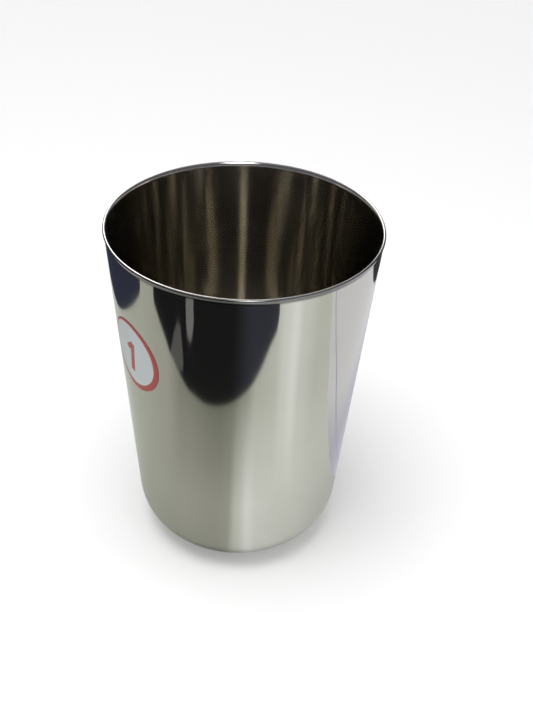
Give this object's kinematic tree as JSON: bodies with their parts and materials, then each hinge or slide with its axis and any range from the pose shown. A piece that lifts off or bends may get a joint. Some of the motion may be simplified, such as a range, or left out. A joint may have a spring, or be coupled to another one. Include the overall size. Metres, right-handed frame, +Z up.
{
  "type": "drawn metal cup",
  "caption": "Tall round cup drawn from one sheet of polished steel, gently tapered, with a rounded base edge and a slightly flared lip, and a round paper label on its wall",
  "frame": {"origin": "middle of the underside, on the surface that the cup stands on", "axes": "+Z up along the cup's axis of revolution, -Y the front, +X to the right seen from the front"},
  "size_m": [0.075, 0.075, 0.102],
  "materials": {
    "steel": "polished",
    "label": "matte"
  },
  "bodies": {
    "root": {"cup": "steel", "round_label": "label"}
  },
  "joints": []
}
